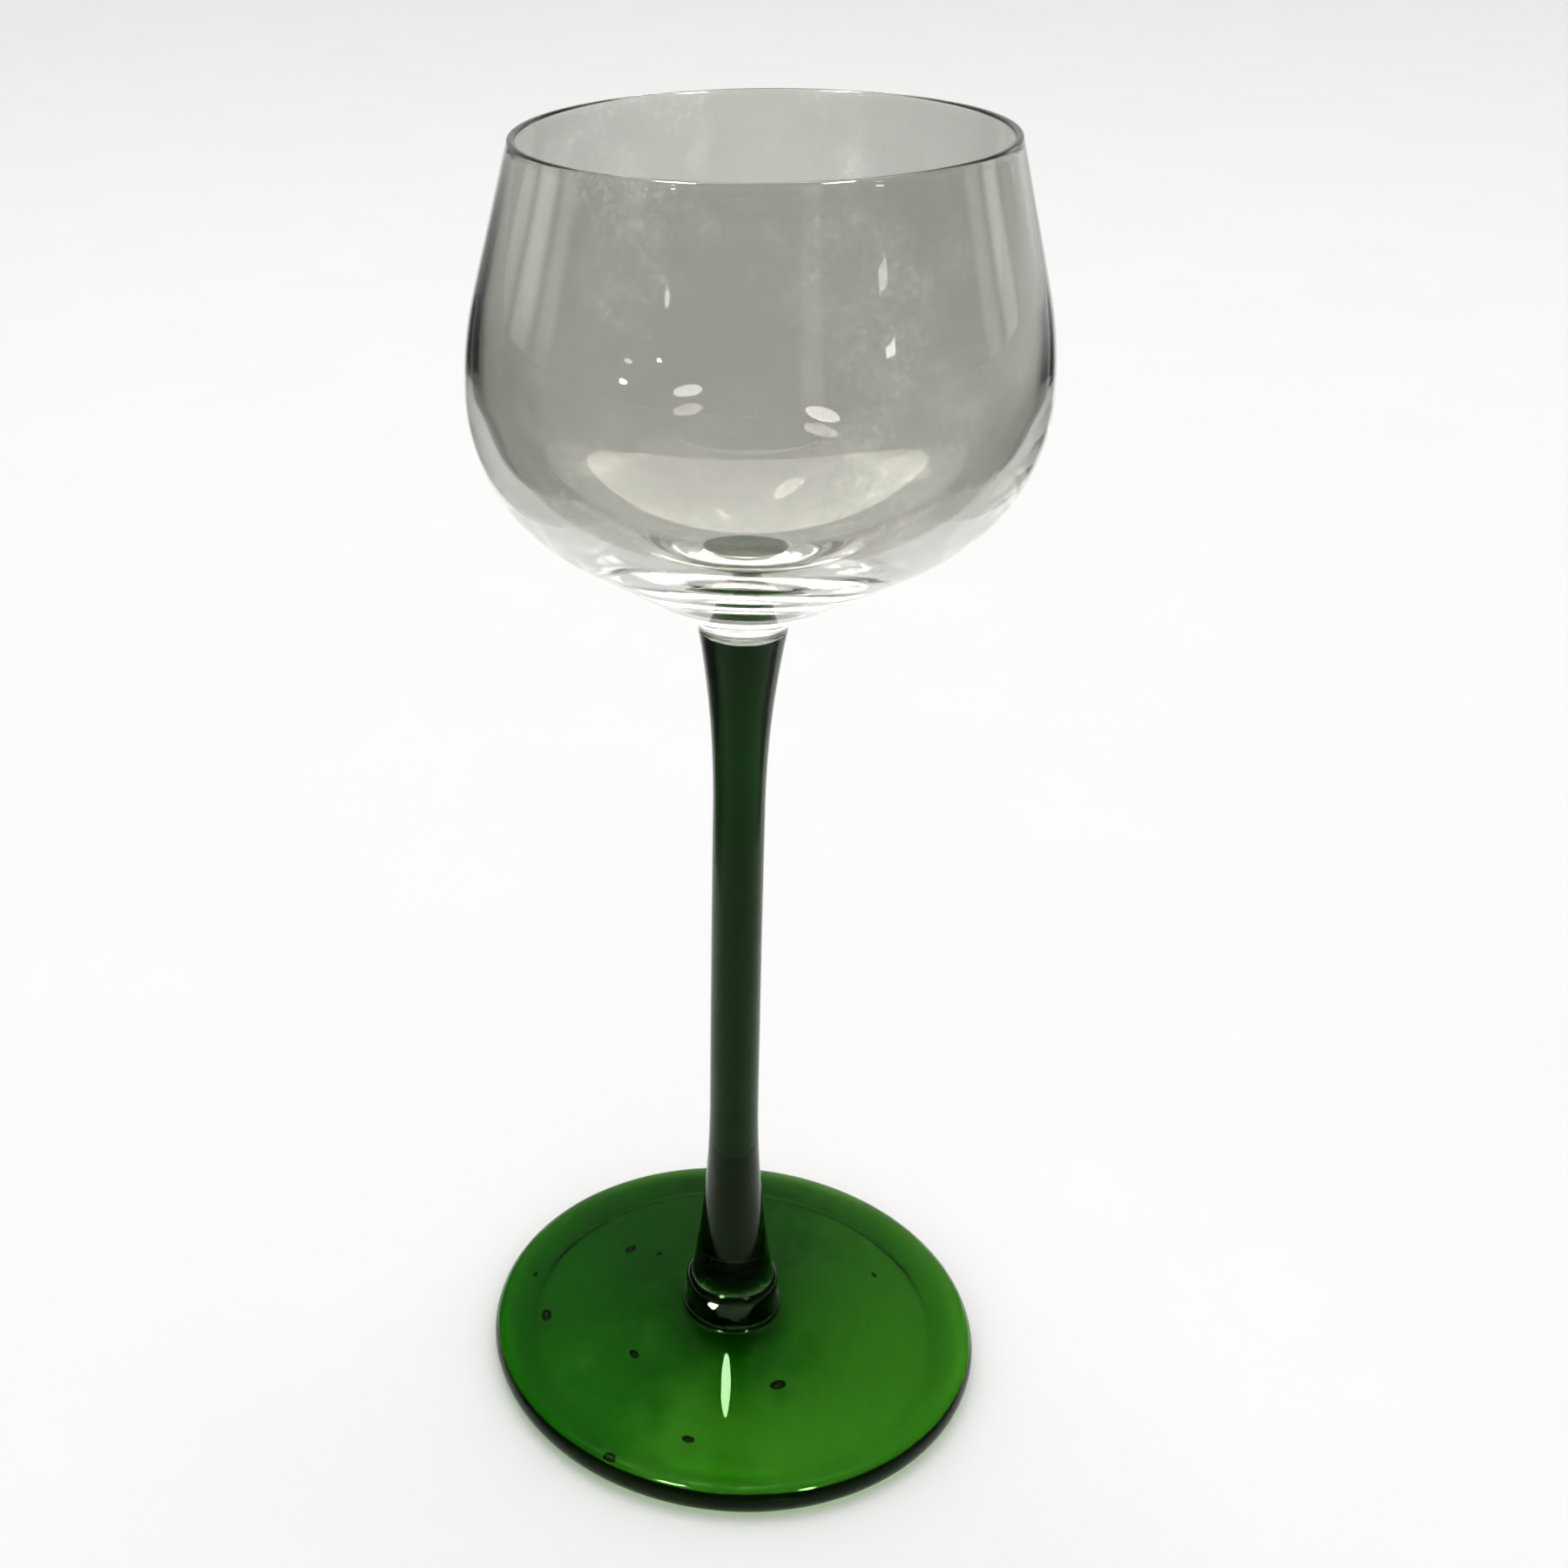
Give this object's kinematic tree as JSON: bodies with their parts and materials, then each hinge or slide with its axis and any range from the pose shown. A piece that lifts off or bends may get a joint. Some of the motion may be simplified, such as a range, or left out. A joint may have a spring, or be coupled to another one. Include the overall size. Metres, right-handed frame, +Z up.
{
  "type": "wine goblet",
  "caption": "Stemmed wine goblet: a clear round bowl with a slightly closed mouth, on a slim green stem flared at both ends and a round green foot it stands on.",
  "frame": {"origin": "on the goblet's axis, in the plane of the standing ring under the foot", "axes": "+Z up along the goblet's axis from foot to rim; X and Y lie in the plane it stands on, and the shape is the same all round"},
  "size_m": [0.0684, 0.0684, 0.17],
  "materials": {
    "clear_glass": "fire-polished, clear and colourless",
    "green_glass": "fire-polished, green through the glass"
  },
  "bodies": {
    "root": {"bowl": "clear_glass", "stem": "green_glass", "foot": "green_glass"}
  },
  "joints": []
}
